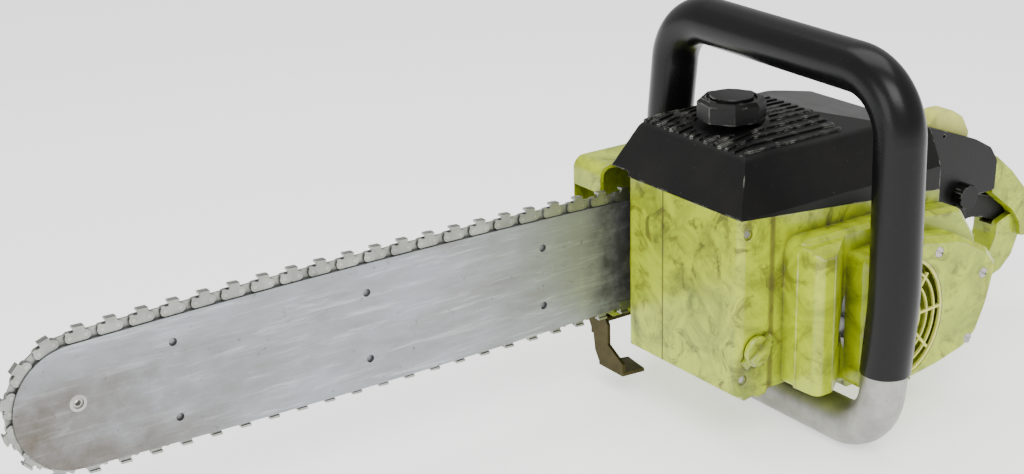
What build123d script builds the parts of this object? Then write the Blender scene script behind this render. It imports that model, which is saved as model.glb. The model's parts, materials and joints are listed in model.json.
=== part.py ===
from build123d import *
from math import acos, atan2, cos, degrees, hypot, pi, radians, sin
import os

os.makedirs("parts", exist_ok=True)

# ---------------------------------------------------------------------------
# Driving dimensions, in millimetres.
# Saw frame: x runs rearward from the front face of the power head, y runs
# across from the near face of the guide bar core towards the operator's
# right, z runs up from the centreline of the guide bar.
# The helpers below carry that frame into the row frame.
# ---------------------------------------------------------------------------
FACE_X = 49.13
BAR_Y = 81.51
BAR_Z = 110.8              # bar centreline above the surface it rests on

CHAIN_PITCH = 10.26        # .404 inch chain
BAR_HALF = 41.5            # half width of the bar plate at its ends
BELLY = 3.0                # bulge of each bar edge at mid length
NOSE_X = -417.0            # nose sprocket centre
BAR_CORE = 5.0             # bar thickness between the rails
CHEEK = 1.2                # near cheek plate of the bar
GROOVE = 1.9               # groove for the drive links
GROOVE_DEPTH = 8.0
RAIL_BOTTOM = -36.5        # lower rail, covered by the cheek plate
RIVET_LIFT = 3.6           # chain rivet line above the rail
BAR_TAIL_X = 84.0
STUD_Z = -6.0
STUD_XS = (25.0, 60.0)
STUD_R = 4.0

CRANK_X = 122.0            # crankshaft axis
CRANK_Z = -24.0
CYL_Y = -66.0              # plane of the cylinder axis
THROW = 14.0               # crank throw
ROD_LENGTH = 48.0
BORE_R = 22.0

LEFT_Y = -134.0            # left face of the tank and crankcase
SEAM_Y = -52.0             # seam between the crankcase halves
RIGHT_Y = -11.0            # right face of the crankcase
STARTER_Y = -170.0         # outer face of the starter cover
BODY_REAR = 190.0
TOP_SLOPE = 0.093          # fall of the crankcase rim towards the rear
TOP_Z = 64.0
WALL = 4.0

FUEL_Y = -108.0            # fuel filler, on the rear wall
FUEL_Z = -28.0
HANDLE_BOLT_YS = (-59.0, -41.0)
HANDLE_X = 78.0            # plane of the front handle
TUBE_R = 15.8              # aluminium tube under the sleeve
SLEEVE_R = 17.3
TUBE_BORE_R = 12.0
GRIP_Y = -60.0             # centre plane of the rear handle


def at(x, y, z):
    """Point of the saw frame in the row frame."""
    return Vector(x + FACE_X, y + BAR_Y, z + BAR_Z)


def side(y):
    """Plane facing the operator's left: local x rearward, local y up."""
    return Plane(origin=at(0, y, 0), x_dir=(1, 0, 0), z_dir=(0, -1, 0))


def level(z):
    """Horizontal plane: local x rearward, local y to the right."""
    return Plane(origin=at(0, 0, z), x_dir=(1, 0, 0), z_dir=(0, 0, 1))


def across(x):
    """Plane facing rearward: local x to the right, local y up."""
    return Plane(origin=at(x, 0, 0), x_dir=(0, 1, 0), z_dir=(1, 0, 0))


def rim(x):
    """Height of the crankcase rim at x."""
    return TOP_Z - TOP_SLOPE * x


def save(name, part):
    part.label = name
    export_step(part, f"parts/{name}.step")


# ---------------------------------------------------------------------------
# Chain path: belly arc over the bar, nose turn, straight return, sprocket.
# ---------------------------------------------------------------------------
SPROCKET_TEETH = 7
SPROCKET_PITCH_R = CHAIN_PITCH / (2 * sin(pi / (2 * SPROCKET_TEETH)))
NOSE_R = (BAR_HALF - RAIL_BOTTOM) / 2
NOSE_Z = (BAR_HALF + RAIL_BOTTOM) / 2
TAIL_BEND = 60.0           # turn of the upper rail behind the front face


def chain_path(lift):
    """Closed outline that runs a set distance outside the rails."""
    top = BAR_HALF + lift
    low = RAIL_BOTTOM - lift
    bend_r = TAIL_BEND + lift
    bend_z = BAR_HALF - TAIL_BEND
    wheel_r = SPROCKET_PITCH_R - RIVET_LIFT + lift
    dx = CRANK_X
    dz = CRANK_Z - bend_z
    span = hypot(dx, dz)
    turn = degrees(atan2(dz, dx) + acos((bend_r - wheel_r) / span))
    bend_end = (bend_r * cos(radians(turn)), bend_z + bend_r * sin(radians(turn)))
    wheel_top = (CRANK_X + wheel_r * cos(radians(turn)), CRANK_Z + wheel_r * sin(radians(turn)))
    ex = -CRANK_X
    ez = low - CRANK_Z
    away = hypot(ex, ez)
    low_angle = degrees(atan2(ez, ex)) % 360 + degrees(acos(wheel_r / away))
    wheel_low = (CRANK_X + wheel_r * cos(radians(low_angle)), CRANK_Z + wheel_r * sin(radians(low_angle)))
    with BuildLine() as path:
        ThreePointArc((0, top), (NOSE_X / 2, top + BELLY), (NOSE_X, top))
        CenterArc((NOSE_X, NOSE_Z), NOSE_R + lift, 90, 180)
        Line((NOSE_X, low), (0, low))
        Line((0, low), wheel_low)
        CenterArc((CRANK_X, CRANK_Z), wheel_r, low_angle, turn + 360 - low_angle)
        Line(wheel_top, bend_end)
        CenterArc((0, bend_z), bend_r, turn, 90 - turn)
    return path


def rail_face(lift):
    with BuildSketch() as face:
        add(chain_path(lift))
        make_face()
    return face.sketch



# ---------------------------------------------------------------------------
# Guide bar: core with a groove all round, near cheek plate, stud slot.
# ---------------------------------------------------------------------------
HOLE_PAIRS = ((-68.0, 22.0), (-212.0, 24.0), (-352.0, 26.0))
BAR_DIMPLE_R = 2.8
RIVET_HEAD_R = 5.6

with BuildPart() as guide_bar:
    with BuildSketch(side(BAR_CORE)):
        add(rail_face(0))
        with Locations((BAR_TAIL_X + 50, 0)):
            Rectangle(100, 200, mode=Mode.SUBTRACT)
    extrude(amount=BAR_CORE)
    with BuildSketch(side(0)):
        with BuildLine():
            ThreePointArc((0, BAR_HALF), (NOSE_X / 2, BAR_HALF + BELLY), (NOSE_X, BAR_HALF))
            ThreePointArc((NOSE_X, BAR_HALF), (NOSE_X - BAR_HALF, 0), (NOSE_X, -BAR_HALF))
            ThreePointArc((NOSE_X, -BAR_HALF), (NOSE_X / 2, -BAR_HALF - BELLY), (0, -BAR_HALF))
            Line((0, -BAR_HALF), (0, BAR_HALF))
        make_face()
    extrude(amount=CHEEK)
    with BuildSketch(side(BAR_CORE / 2 + GROOVE / 2)):
        add(rail_face(2))
        add(rail_face(-GROOVE_DEPTH), mode=Mode.SUBTRACT)
        with Locations((NOSE_X, NOSE_Z)):
            Circle(NOSE_R - 3)
    extrude(amount=GROOVE, mode=Mode.SUBTRACT)
    with BuildSketch(side(BAR_CORE)):
        with Locations((sum(STUD_XS) / 2, STUD_Z)):
            SlotCenterToCenter(STUD_XS[1] - STUD_XS[0] + 8, 2 * STUD_R + 0.6)
    extrude(amount=BAR_CORE, mode=Mode.SUBTRACT)
    with BuildSketch(side(1.0)):
        for x, half in HOLE_PAIRS:
            with Locations((x, half), (x, -half)):
                Circle(BAR_DIMPLE_R)
    extrude(amount=CHEEK + 1.0, mode=Mode.SUBTRACT)
    with BuildSketch(side(BAR_CORE)):
        with Locations((NOSE_X, NOSE_Z)):
            Circle(RIVET_HEAD_R)
    extrude(amount=BAR_CORE + CHEEK, mode=Mode.SUBTRACT)
save("guide_bar", guide_bar.part)

NOSE_TEETH = 13
NOSE_TIP_R = NOSE_R + RIVET_LIFT - 10.1

with BuildPart() as nose_sprocket:
    with BuildSketch(side(BAR_CORE / 2 + 0.75)):
        with Locations((NOSE_X, NOSE_Z)):
            Circle(NOSE_TIP_R)
            Circle(RIVET_HEAD_R + 0.05, mode=Mode.SUBTRACT)
            with PolarLocations(NOSE_TIP_R + 1.5, NOSE_TEETH):
                Circle(4.6, mode=Mode.SUBTRACT)
            with PolarLocations(16, 6):
                Circle(4, mode=Mode.SUBTRACT)
    extrude(amount=1.5)
save("nose_sprocket", nose_sprocket.part)

with BuildPart() as nose_rivet:
    with BuildSketch(side(BAR_CORE)):
        with Locations((NOSE_X, NOSE_Z)):
            Circle(RIVET_HEAD_R)
            Circle(2.0, mode=Mode.SUBTRACT)
    extrude(amount=BAR_CORE + CHEEK)
    with BuildSketch(side(-CHEEK + 1.0)):
        with Locations((NOSE_X, NOSE_Z)):
            Circle(3.6)
    extrude(amount=1.0, mode=Mode.SUBTRACT)
save("nose_rivet", nose_rivet.part)

# ---------------------------------------------------------------------------
# Saw chain: 62 drive links joined by 62 pairs of side links.  Every near
# side link is a cutter and every far one is a plain strap.
# ---------------------------------------------------------------------------
DRIVE_LINKS = 62
LINK_T = 1.6
STRAP_HALF = 3.2
CUTTER_TOP = 6.9           # top of the cutter above the rivet line
TANG = 9.6                 # drive link tip below the rivet line
RIVET_R = 1.5
rivet_line = chain_path(RIVET_LIFT).wire()
rivet_points = [rivet_line.position_at(i / (2 * DRIVE_LINKS)) for i in range(2 * DRIVE_LINKS)]
link_span = rivet_line.length / (2 * DRIVE_LINKS)


def link_place(i):
    """Place of the link that starts at rivet i, travelling nose first."""
    a = rivet_points[i]
    b = rivet_points[(i + 1) % len(rivet_points)]
    along = (b.X - a.X, 0, b.Y - a.Y)
    out = (along[2], 0, -along[0])
    middle = at((a.X + b.X) / 2, BAR_CORE / 2, (a.Y + b.Y) / 2)
    return Location(Plane(origin=middle, x_dir=along, z_dir=out))


def link_flat(y):
    """Sketch plane of a link at offset y towards the operator's left."""
    return Plane(origin=(0, y, 0), x_dir=(1, 0, 0), z_dir=(0, -1, 0))


drive_places = [link_place(i) for i in range(0, 2 * DRIVE_LINKS, 2)]
side_places = [link_place(i) for i in range(1, 2 * DRIVE_LINKS, 2)]

with BuildPart() as drive_link:
    with BuildSketch(link_flat(LINK_T / 2)):
        SlotCenterToCenter(link_span, 2 * STRAP_HALF - 0.3)
        Polygon((-5.0, -2.0), (5.0, -2.0), (1.0, -TANG), (-2.6, -TANG), align=None)
        with Locations((-link_span / 2, 0), (link_span / 2, 0)):
            Circle(RIVET_R + 0.1, mode=Mode.SUBTRACT)
    extrude(amount=LINK_T)

with BuildPart() as strap:
    with BuildSketch(link_flat(-LINK_T / 2 - 0.05)):
        SlotCenterToCenter(link_span, 2 * STRAP_HALF)
        with Locations((-link_span / 2, 0), (link_span / 2, 0)):
            Circle(RIVET_R + 0.1, mode=Mode.SUBTRACT)
    extrude(amount=LINK_T)

with BuildPart() as cutter:
    with BuildSketch(link_flat(LINK_T / 2 + 0.05 + LINK_T)):
        SlotCenterToCenter(link_span, 2 * STRAP_HALF)
        Polygon((-5.6, 0), (3.4, 0), (1.6, CUTTER_TOP), (-4.4, CUTTER_TOP), align=None)
        Polygon((4.0, 0), (8.0, 0), (7.6, 3.9), (5.2, 3.9), align=None)
        with Locations((-link_span / 2, 0), (link_span / 2, 0)):
            Circle(RIVET_R + 0.1, mode=Mode.SUBTRACT)
    extrude(amount=LINK_T)
    with BuildSketch(link_flat(LINK_T / 2 + LINK_T + 1.0)):
        Polygon((-4.6, CUTTER_TOP - 1.7), (2.6, CUTTER_TOP - 1.7), (2.6, CUTTER_TOP),
                (-4.6, CUTTER_TOP - 0.3), align=None)
    extrude(amount=5.2)

with BuildPart() as chain_rivet:
    with BuildSketch(link_flat(LINK_T / 2 + LINK_T + 0.05)):
        Circle(RIVET_R)
    extrude(amount=3 * LINK_T + 0.1)
    with BuildSketch(link_flat(-LINK_T / 2 - LINK_T - 0.05)):
        Circle(2.1)
    extrude(amount=0.5)


def chain_node(name, link, places):
    """One group of separate solids, one solid for each place."""
    group = Compound([link.moved(place) for place in places])
    save(name, group)


chain_node("chain_drive_links", drive_link.part, drive_places)
chain_node("chain_cutters", cutter.part, side_places)
chain_node("chain_tie_straps", strap.part, side_places)
rivet_places = [Location(at(p.X, BAR_CORE / 2, p.Y), (0, 0, 180)) for p in rivet_points]
chain_node("chain_rivets", chain_rivet.part, rivet_places)

# ---------------------------------------------------------------------------
# Crankcase and tank castings.  The seam between them shows in the front face.
# ---------------------------------------------------------------------------
BASE_Z = -65.0             # underside at the front
TUBE_TOP_Z = -76.5         # underside above the handle tube
REAR_BASE_Z = -86.0        # underside behind the handle tube
FOOT_Z = -110.8            # sole of the rear foot
TANK_REAR = 40.0           # rear wall of the front tanks
MAIN_BEARING_R = 15.0
SHAFT_R = 8.0
CHAMBER_R = 34.0
DECK_Z = 12.0              # cylinder seat
SCREW_R = 2.4


def case_outline():
    """Side outline shared by both halves."""
    with BuildSketch() as outline:
        Polygon((0, TOP_Z), (0, BASE_Z), (56, BASE_Z), (62, TUBE_TOP_Z), (98, TUBE_TOP_Z),
                (104, REAR_BASE_Z), (BODY_REAR, REAR_BASE_Z), (BODY_REAR, rim(BODY_REAR)), align=None)
    return outline.sketch


def bay_outline():
    """Engine bay: open at the top, walls and floor left standing."""
    with BuildSketch() as outline:
        Polygon((TANK_REAR, TOP_Z + 10), (TANK_REAR, BASE_Z + WALL), (56, BASE_Z + WALL),
                (58, TUBE_TOP_Z + WALL), (102, TUBE_TOP_Z + WALL), (104, REAR_BASE_Z + WALL),
                (BODY_REAR - WALL, REAR_BASE_Z + WALL), (BODY_REAR - WALL, TOP_Z + 10), align=None)
    return outline.sketch


def chamber_outline():
    """Crank chamber and the opening up to the cylinder seat."""
    with BuildSketch() as outline:
        with Locations((CRANK_X, CRANK_Z)):
            Circle(CHAMBER_R)
        with Locations((CRANK_X, DECK_Z)):
            Rectangle(2 * BORE_R + 2, 40)
    return outline.sketch


with BuildPart() as crankcase_right:
    with BuildSketch(side(RIGHT_Y)):
        add(case_outline())
    extrude(amount=RIGHT_Y - SEAM_Y)
    fillet(edges().filter_by(Axis.Z).sort_by(Axis.X).group_by(Axis.X)[0].sort_by(Axis.Y)[-1], 6)
    with BuildSketch(side(RIGHT_Y - WALL)):
        add(bay_outline())
        with Locations(((TANK_REAR - WALL) / 2 + 1, -2)):
            Rectangle(TANK_REAR - WALL - 6, 2 * 58)
    extrude(amount=60, mode=Mode.SUBTRACT)
    with BuildSketch(side(-38)):
        with Locations((CRANK_X, (DECK_Z + TUBE_TOP_Z) / 2)):
            Rectangle(76, DECK_Z - TUBE_TOP_Z)
    extrude(amount=-38 - SEAM_Y)
    with BuildSketch(side(-44)):
        add(chamber_outline())
    extrude(amount=20, mode=Mode.SUBTRACT)
    with BuildSketch(side(-30)):
        with Locations((CRANK_X, CRANK_Z)):
            Circle(MAIN_BEARING_R)
    extrude(amount=30, mode=Mode.SUBTRACT)
    with BuildSketch(side(0)):
        with Locations((CRANK_X, CRANK_Z)):
            Circle(11)
        for x in STUD_XS:
            with Locations((x, STUD_Z)):
                Circle(STUD_R)
    extrude(amount=16, mode=Mode.SUBTRACT)
    # lug that carries the upper end of the front handle, clear of the chain
    with BuildSketch(level(57.6)):
        with Locations((HANDLE_X, 22)):
            Rectangle(40, 66)
        with Locations((HANDLE_X, 36)):
            Circle(4.2, mode=Mode.SUBTRACT)
    extrude(amount=11)
    fillet(edges().filter_by(Axis.Z).group_by(Axis.Y)[-1], 10)
    # pad that the guide bar is clamped against
    with BuildSketch(side(-0.05)):
        with Locations((42, STUD_Z)):
            RectangleRounded(62, 26, 8)
        with Locations(*[(x, STUD_Z) for x in STUD_XS]):
            Circle(STUD_R, mode=Mode.SUBTRACT)
    extrude(amount=-0.05 - RIGHT_Y)
    # rear foot
    with BuildSketch(side(-16)):
        Polygon((168, REAR_BASE_Z), (175, FOOT_Z), (BODY_REAR, FOOT_Z), (BODY_REAR, REAR_BASE_Z), align=None)
    extrude(amount=-16 - SEAM_Y)
    with Locations(at(HANDLE_X, HANDLE_BOLT_YS[1], TUBE_TOP_Z)):
        Cylinder(2.6, 20, mode=Mode.SUBTRACT)
    # oil hole from the pump to the bar
    with Locations(Location(at(15, -6, 20), (90, 0, 0))):
        Cylinder(1.5, 14, mode=Mode.SUBTRACT)
save("crankcase_right", crankcase_right.part)

CAP_X = 15.5
CAP_Z = -33.0
CAP_NECK_R = 8.0
STRIP_SCREWS = ((7.0, 53.0), (4.5, -53.0))

with BuildPart() as crankcase_left:
    with BuildSketch(side(SEAM_Y)):
        add(case_outline())
    extrude(amount=SEAM_Y - LEFT_Y)
    fillet(edges().filter_by(Axis.Z).group_by(Axis.X)[0].sort_by(Axis.Y)[0], 5)
    with BuildSketch(side(SEAM_Y)):
        add(bay_outline())
        with Locations(((TANK_REAR - WALL) / 2 + 1, -2)):
            Rectangle(TANK_REAR - WALL - 6, 2 * 58)
    extrude(amount=SEAM_Y - LEFT_Y - WALL, mode=Mode.SUBTRACT)
    with BuildSketch(side(SEAM_Y)):
        with Locations((CRANK_X, (DECK_Z + TUBE_TOP_Z) / 2)):
            Rectangle(76, DECK_Z - TUBE_TOP_Z)
    extrude(amount=42)
    with BuildSketch(side(SEAM_Y + 1)):
        add(chamber_outline())
    extrude(amount=37, mode=Mode.SUBTRACT)
    with BuildSketch(side(-80)):
        with Locations((CRANK_X, CRANK_Z)):
            Circle(MAIN_BEARING_R)
    extrude(amount=30, mode=Mode.SUBTRACT)
    # opening to the fan
    with BuildSketch(side(LEFT_Y + 10)):
        with Locations((CRANK_X, CRANK_Z)):
            Circle(46)
    extrude(amount=20, mode=Mode.SUBTRACT)
    # filler neck and recessed screw holes in the near strip
    with BuildSketch(side(LEFT_Y + 6)):
        with Locations((CAP_X, CAP_Z)):
            Circle(CAP_NECK_R)
        with Locations(*STRIP_SCREWS):
            Circle(SCREW_R)
    extrude(amount=8, mode=Mode.SUBTRACT)
    with BuildSketch(side(LEFT_Y + 1.4)):
        with Locations(*STRIP_SCREWS):
            Circle(3.9)
    extrude(amount=4, mode=Mode.SUBTRACT)
    # lower lip of the near strip
    with BuildSketch(side(LEFT_Y + 10)):
        Polygon((3, BASE_Z + 1), (6, BASE_Z - 4), (14, BASE_Z - 2.5), (19, BASE_Z - 4.5), (26, BASE_Z - 3.5),
                (28, BASE_Z + 1), align=None)
    extrude(amount=10)
    with BuildSketch(side(SEAM_Y)):
        Polygon((168, REAR_BASE_Z), (175, FOOT_Z), (BODY_REAR, FOOT_Z), (BODY_REAR, REAR_BASE_Z), align=None)
    extrude(amount=SEAM_Y + 116)
    with Locations(at(HANDLE_X, HANDLE_BOLT_YS[0], TUBE_TOP_Z)):
        Cylinder(2.6, 20, mode=Mode.SUBTRACT)
    # throttle rod opening and fuel filler neck in the rear wall
    with Locations(at(BODY_REAR - 2, GRIP_Y, 28)):
        Box(10, 8, 14, mode=Mode.SUBTRACT)
    with Locations(Location(at(BODY_REAR - 2, FUEL_Y, FUEL_Z), (0, 90, 0))):
        Cylinder(CAP_NECK_R, 14, mode=Mode.SUBTRACT)
save("crankcase_left", crankcase_left.part)

# ---------------------------------------------------------------------------
# Crank train
# ---------------------------------------------------------------------------
PIN_Z = CRANK_Z + THROW
WRIST_Z = PIN_Z + ROD_LENGTH
CLUTCH_SHAFT_R = 6.0


def disc(y, radius, thick, x=CRANK_X, z=CRANK_Z, mode=Mode.ADD):
    """Cylinder along y with its right face at y."""
    with Locations(Location(at(x, y - thick / 2, z), (90, 0, 0))):
        Cylinder(radius, thick, mode=mode)


with BuildPart() as crankshaft:
    disc(-15.0, SHAFT_R, 44)
    disc(38.0, CLUTCH_SHAFT_R, 53.5)
    disc(CYL_Y + 7, 5.5, 14, z=PIN_Z)
    for right in (-51.0, CYL_Y - 7.0):
        with BuildSketch(side(right)):
            with Locations((CRANK_X, CRANK_Z)):
                Circle(27)
            with Locations((CRANK_X, CRANK_Z + 24)):
                Rectangle(70, 14, mode=Mode.SUBTRACT)
            with Locations((CRANK_X, PIN_Z)):
                Circle(9)
        extrude(amount=8)
    disc(-81.0, SHAFT_R, 71)
save("crankshaft", crankshaft.part)

with BuildPart() as main_bearings:
    for right in (-39.5, -82.5):
        disc(right, MAIN_BEARING_R - 0.02, 10)
        disc(right, SHAFT_R + 0.03, 10, mode=Mode.SUBTRACT)
        disc(right, 12.5, 1, mode=Mode.SUBTRACT)
        disc(right, SHAFT_R + 2.4, 1)
        disc(right, SHAFT_R + 0.03, 10, mode=Mode.SUBTRACT)
save("main_bearings", main_bearings.part)

with BuildPart() as connecting_rod:
    with BuildSketch(side(CYL_Y + 5)):
        with Locations((CRANK_X, PIN_Z)):
            Circle(9)
        with Locations((CRANK_X, WRIST_Z)):
            Circle(7.5)
        with Locations((CRANK_X, (PIN_Z + WRIST_Z) / 2)):
            Rectangle(9, ROD_LENGTH)
        with Locations((CRANK_X, PIN_Z)):
            Circle(5.55, mode=Mode.SUBTRACT)
        with Locations((CRANK_X, WRIST_Z)):
            Circle(4.55, mode=Mode.SUBTRACT)
    extrude(amount=10)
save("connecting_rod", connecting_rod.part)

PISTON_R = BORE_R - 0.06
PISTON_TOP = WRIST_Z + 12

with BuildPart() as piston:
    with Locations(at(CRANK_X, CYL_Y, PISTON_TOP - 12)):
        Cylinder(PISTON_R, 24)
    for ring_z in (PISTON_TOP - 3, PISTON_TOP - 6):
        with Locations(at(CRANK_X, CYL_Y, ring_z)):
            Cylinder(PISTON_R + 1, 1.2, mode=Mode.SUBTRACT)
            Cylinder(PISTON_R - 2, 1.2)
    with Locations(at(CRANK_X, CYL_Y, PISTON_TOP - 16)):
        Cylinder(PISTON_R - 3, 24, mode=Mode.SUBTRACT)
    disc(CYL_Y + 30, 4.5, 60, z=WRIST_Z, mode=Mode.SUBTRACT)
save("piston", piston.part)

with BuildPart() as piston_rings:
    for ring_z in (PISTON_TOP - 3, PISTON_TOP - 6):
        with Locations(at(CRANK_X, CYL_Y, ring_z)):
            Cylinder(BORE_R - 0.02, 1.1)
            Cylinder(PISTON_R - 1.9, 1.1, mode=Mode.SUBTRACT)
save("piston_rings", piston_rings.part)

with BuildPart() as wrist_pin:
    disc(CYL_Y + 20, 4.47, 40, z=WRIST_Z)
    disc(CYL_Y + 20, 2.5, 40, z=WRIST_Z, mode=Mode.SUBTRACT)
save("wrist_pin", wrist_pin.part)

HEAD_Z = 66.0
PLUG_TILT = 55.0

with BuildPart() as cylinder:
    with Locations(at(CRANK_X, CYL_Y, (DECK_Z + HEAD_Z) / 2)):
        Cylinder(26, HEAD_Z - DECK_Z)
    with BuildSketch(level(DECK_Z)):
        with Locations((CRANK_X, CYL_Y)):
            RectangleRounded(66, 54, 6)
    extrude(amount=4)
    for i in range(7):
        with BuildSketch(level(24 + 6.5 * i)):
            with Locations((CRANK_X, CYL_Y)):
                RectangleRounded(72, 74, 14)
        extrude(amount=2)
    with Locations(at(CRANK_X, CYL_Y, DECK_Z + 20)):
        Cylinder(BORE_R, 60, mode=Mode.SUBTRACT)
    # plug boss on the head, leaning to the rear
    with Locations(Location(at(CRANK_X + 10, CYL_Y, HEAD_Z), (0, PLUG_TILT, 0))):
        Cylinder(10, 14)
        Cylinder(5, 60, mode=Mode.SUBTRACT)
    with Locations(at(CRANK_X, CYL_Y, PISTON_TOP + 2)):
        Cylinder(BORE_R, 4, mode=Mode.SUBTRACT)
save("cylinder", cylinder.part)

# ---------------------------------------------------------------------------
# Clutch side
# ---------------------------------------------------------------------------
RIM_R = SPROCKET_PITCH_R - RIVET_LIFT - 0.9
CORE_R = SPROCKET_PITCH_R - TANG - 0.9
DRUM_Y = 11.0              # inboard face of the clutch drum
DRUM_R = 36.0

with BuildPart() as clutch_drum:
    disc(DRUM_Y, CORE_R, 13.5)
    disc(1.4, RIM_R, 3)
    disc(6.6, RIM_R, 3)
    disc(DRUM_Y + 22, DRUM_R, 22)
    disc(DRUM_Y + 23, DRUM_R - 2.5, 20.5, mode=Mode.SUBTRACT)
    disc(DRUM_Y + 5, 8.0, 30, mode=Mode.SUBTRACT)
    with BuildSketch(side(8)):
        with Locations((CRANK_X, CRANK_Z)):
            with PolarLocations(RIM_R + 2.5, SPROCKET_TEETH):
                Circle(4.5)
    extrude(amount=12, mode=Mode.SUBTRACT)
save("clutch_drum", clutch_drum.part)

with BuildPart() as drum_bearing:
    disc(10.5, 7.95, 12.5)
    disc(10.5, CLUTCH_SHAFT_R + 0.05, 12.5, mode=Mode.SUBTRACT)
save("drum_bearing", drum_bearing.part)

with BuildPart() as clutch_shoes:
    disc(31.0, 12.0, 17)
    with BuildSketch(side(30.5)):
        with Locations((CRANK_X, CRANK_Z)):
            Circle(DRUM_R - 3.6)
            Circle(20, mode=Mode.SUBTRACT)
            with PolarLocations(26, 3):
                Rectangle(14, 5, mode=Mode.SUBTRACT)
            with PolarLocations(16, 3, start_angle=60):
                Rectangle(12, 8)
    extrude(amount=14)
    disc(31.5, CLUTCH_SHAFT_R + 0.02, 20, mode=Mode.SUBTRACT)
save("clutch_shoes", clutch_shoes.part)

with BuildPart() as clutch_nut:
    with BuildSketch(side(36.5)):
        with Locations((CRANK_X, CRANK_Z)):
            RegularPolygon(9, 6)
            Circle(CLUTCH_SHAFT_R + 0.02, mode=Mode.SUBTRACT)
    extrude(amount=5)
save("clutch_nut", clutch_nut.part)

COVER_Y = 46.0             # outer face of the clutch cover
COVER_T = 3.0


def clutch_cover_outline():
    with BuildSketch() as outline:
        with BuildLine():
            FilletPolyline((-7, 32), (-7, 67), (48, 67), (57, 55.5), (168, 53), (192, 20), (194, -42),
                           (170, -66), (62, -66), (48, -53.5), (2, -53.5), (2, 16), close=True,
                           radius=(7, 9, 4, 4, 14, 16, 16, 12, 5, 5, 3, 3))
        make_face()
    return outline.sketch


with BuildPart() as clutch_cover:
    with BuildSketch(side(COVER_Y)):
        add(clutch_cover_outline())
    extrude(amount=COVER_Y - 11.5)
    chamfer(faces().sort_by(Axis.Y)[-1].edges(), 2.0)
    with BuildSketch(side(COVER_Y - COVER_T)):
        offset(clutch_cover_outline(), -COVER_T)
        with Locations((-8, 0)):
            Rectangle(26, 92)
    extrude(amount=40, mode=Mode.SUBTRACT)
    # lower and rear walls reach in to the crankcase
    with BuildSketch(side(11.5)):
        offset(clutch_cover_outline(), 0)
        offset(clutch_cover_outline(), -COVER_T, mode=Mode.SUBTRACT)
        with Locations((30, 60)):
            Rectangle(100, 130, mode=Mode.SUBTRACT)
        with Locations((20, 30)):
            Rectangle(60, 240, mode=Mode.SUBTRACT)
    extrude(amount=11.5 - RIGHT_Y - 0.2)
    with BuildSketch(side(COVER_Y - 1)):
        with Locations(*[(x, STUD_Z) for x in STUD_XS]):
            Circle(9)
    extrude(amount=COVER_Y - 1 - BAR_CORE - 0.1)
    with BuildSketch(side(COVER_Y + 1)):
        with Locations(*[(x, STUD_Z) for x in STUD_XS]):
            Circle(STUD_R + 0.25)
    extrude(amount=60, mode=Mode.SUBTRACT)
    with BuildSketch(side(COVER_Y + 1)):
        for i in range(4):
            with Locations((96 + 18 * i, CRANK_Z)):
                SlotOverall(46 - 6 * abs(i - 1.5), 5, rotation=90)
    extrude(amount=6, mode=Mode.SUBTRACT)
    with Locations(at(8, 22.5, -52), at(20, 22.5, -52)):
        Cylinder(2.1, 10, mode=Mode.SUBTRACT)
save("clutch_cover", clutch_cover.part)

with BuildPart() as bar_studs:
    for x in STUD_XS:
        disc(COVER_Y + 8.5, STUD_R, COVER_Y + 8.5 + 15, x=x, z=STUD_Z)
save("bar_studs", bar_studs.part)

with BuildPart() as bar_nuts:
    with BuildSketch(side(COVER_Y + 7.1)):
        for x in STUD_XS:
            with Locations((x, STUD_Z)):
                RegularPolygon(7.5, 6)
                Circle(STUD_R + 0.05, mode=Mode.SUBTRACT)
    extrude(amount=7)
save("bar_nuts", bar_nuts.part)

# bent plate under the front of the clutch cover
PLATE_T = 2.6
with BuildPart() as chain_catcher:
    with BuildSketch(across(-0.5)):
        Polygon((-9, -91), (20, -91), (25, -83), (27, -70), (33, -60), (33, -54), (12, -54), (9, -58),
                (9, -74), (-9, -84), align=None)
    extrude(amount=-PLATE_T)
    with BuildSketch(level(-91)):
        Polygon((-0.5 - PLATE_T, -9), (16, -11), (18.5, 6), (19.5, 13), (-0.5 - PLATE_T, 20), align=None)
    extrude(amount=-PLATE_T)
    with BuildSketch(level(-53.9)):
        Polygon((-0.5 - PLATE_T, 12), (26, 12), (26, 33), (-0.5 - PLATE_T, 33), align=None)
        with Locations((8, 22.5), (20, 22.5)):
            Circle(2.1, mode=Mode.SUBTRACT)
    extrude(amount=-PLATE_T)
    with BuildSketch(side(33)):
        Polygon((-0.5, -54), (10, -54), (6, -66), (-0.5, -72), align=None)
    extrude(amount=PLATE_T)
save("chain_catcher", chain_catcher.part)

with BuildPart() as catcher_bolts:
    for x in (8, 20):
        with Locations(at(x, 22.5, -55.2)):
            Cylinder(2.05, 9.4)
        with BuildSketch(level(-53.9 - PLATE_T)):
            with Locations((x, 22.5)):
                RegularPolygon(4, 6)
        extrude(amount=-3)
save("catcher_bolts", catcher_bolts.part)

with BuildPart() as oil_pump:
    with BuildSketch(side(RIGHT_Y - WALL)):
        with Locations((CRANK_X, CRANK_Z)):
            RectangleRounded(56, 30, 8)
            Circle(SHAFT_R + 2, mode=Mode.SUBTRACT)
    extrude(amount=10)
save("oil_pump", oil_pump.part)

# ---------------------------------------------------------------------------
# Fan, starter and their housings on the left side
# ---------------------------------------------------------------------------
FAN_OUT_Y = -150.0         # joint between fan housing and starter cover
FAN_R = 41.0
GRILLE_X = 122.5
GRILLE_Z = -26.0
GRILLE_A = 37.5
GRILLE_B = 45.0
BULGE_Y = -168.0
STARTER_SCREWS = ((201.0, -10.0), (189.0, -58.0), (154.0, 17.0), (90.5, 20.0), (90.5, -62.0))


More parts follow.
